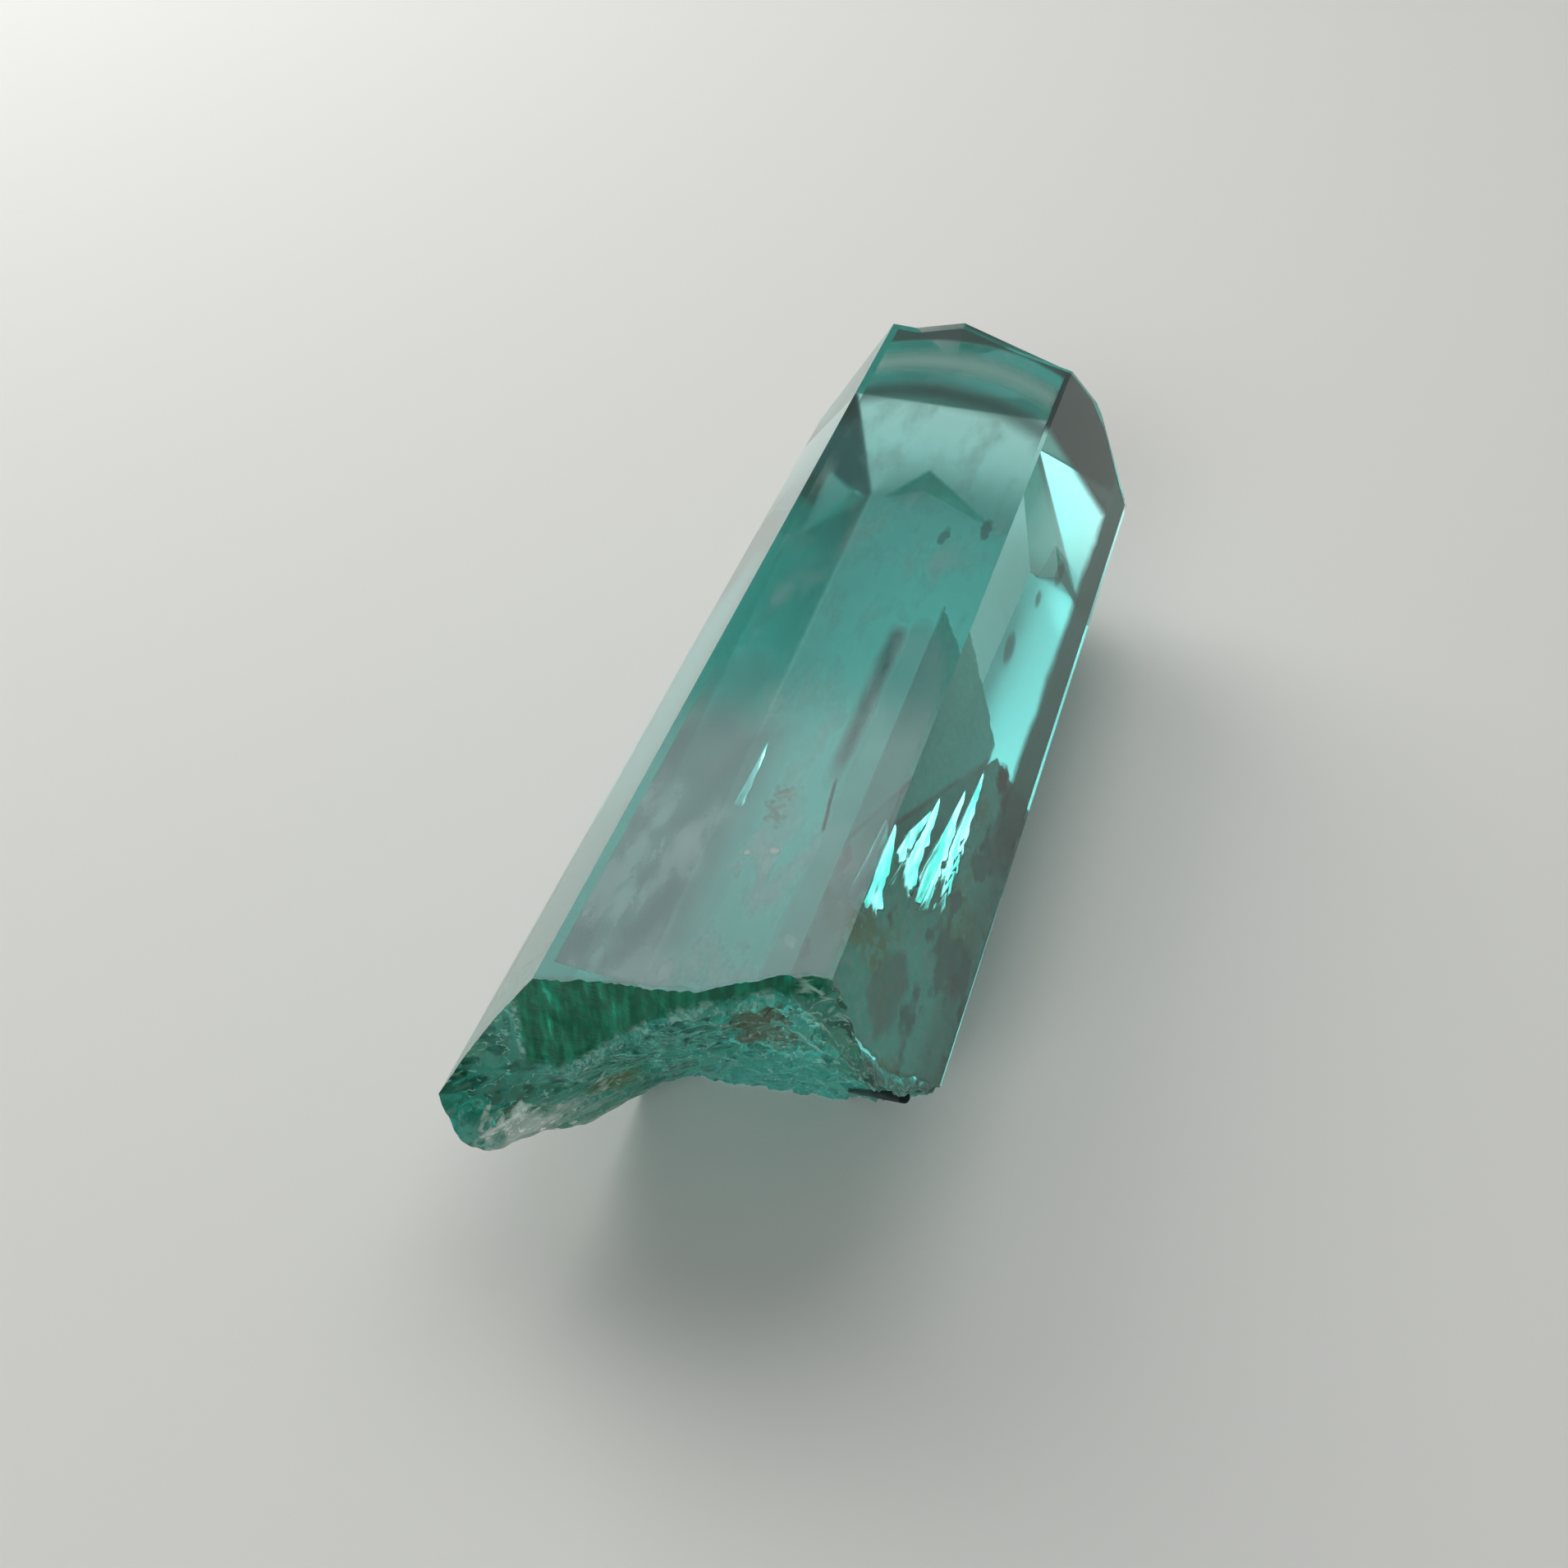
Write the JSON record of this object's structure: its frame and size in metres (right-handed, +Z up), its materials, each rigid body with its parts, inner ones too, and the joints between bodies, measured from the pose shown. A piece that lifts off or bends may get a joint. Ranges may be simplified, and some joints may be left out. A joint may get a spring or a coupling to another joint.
{
  "type": "emerald crystal",
  "caption": "Clear blue-green emerald: a long six-sided beryl prism with a flat basal end and a rough, undercut break, lying on a prism face.",
  "frame": {"origin": "middle of the bounding box's underside, on the surface that the crystal rests on", "axes": "+Y along the prism's c axis, from the break to the basal end; +Z up; X across the prism"},
  "size_m": [0.0078, 0.021, 0.0065],
  "materials": {
    "emerald": "clear blue-green beryl, glossy natural faces, one dull lower face and a rough break"
  },
  "bodies": {
    "root": {"crystal": "emerald"}
  },
  "joints": []
}
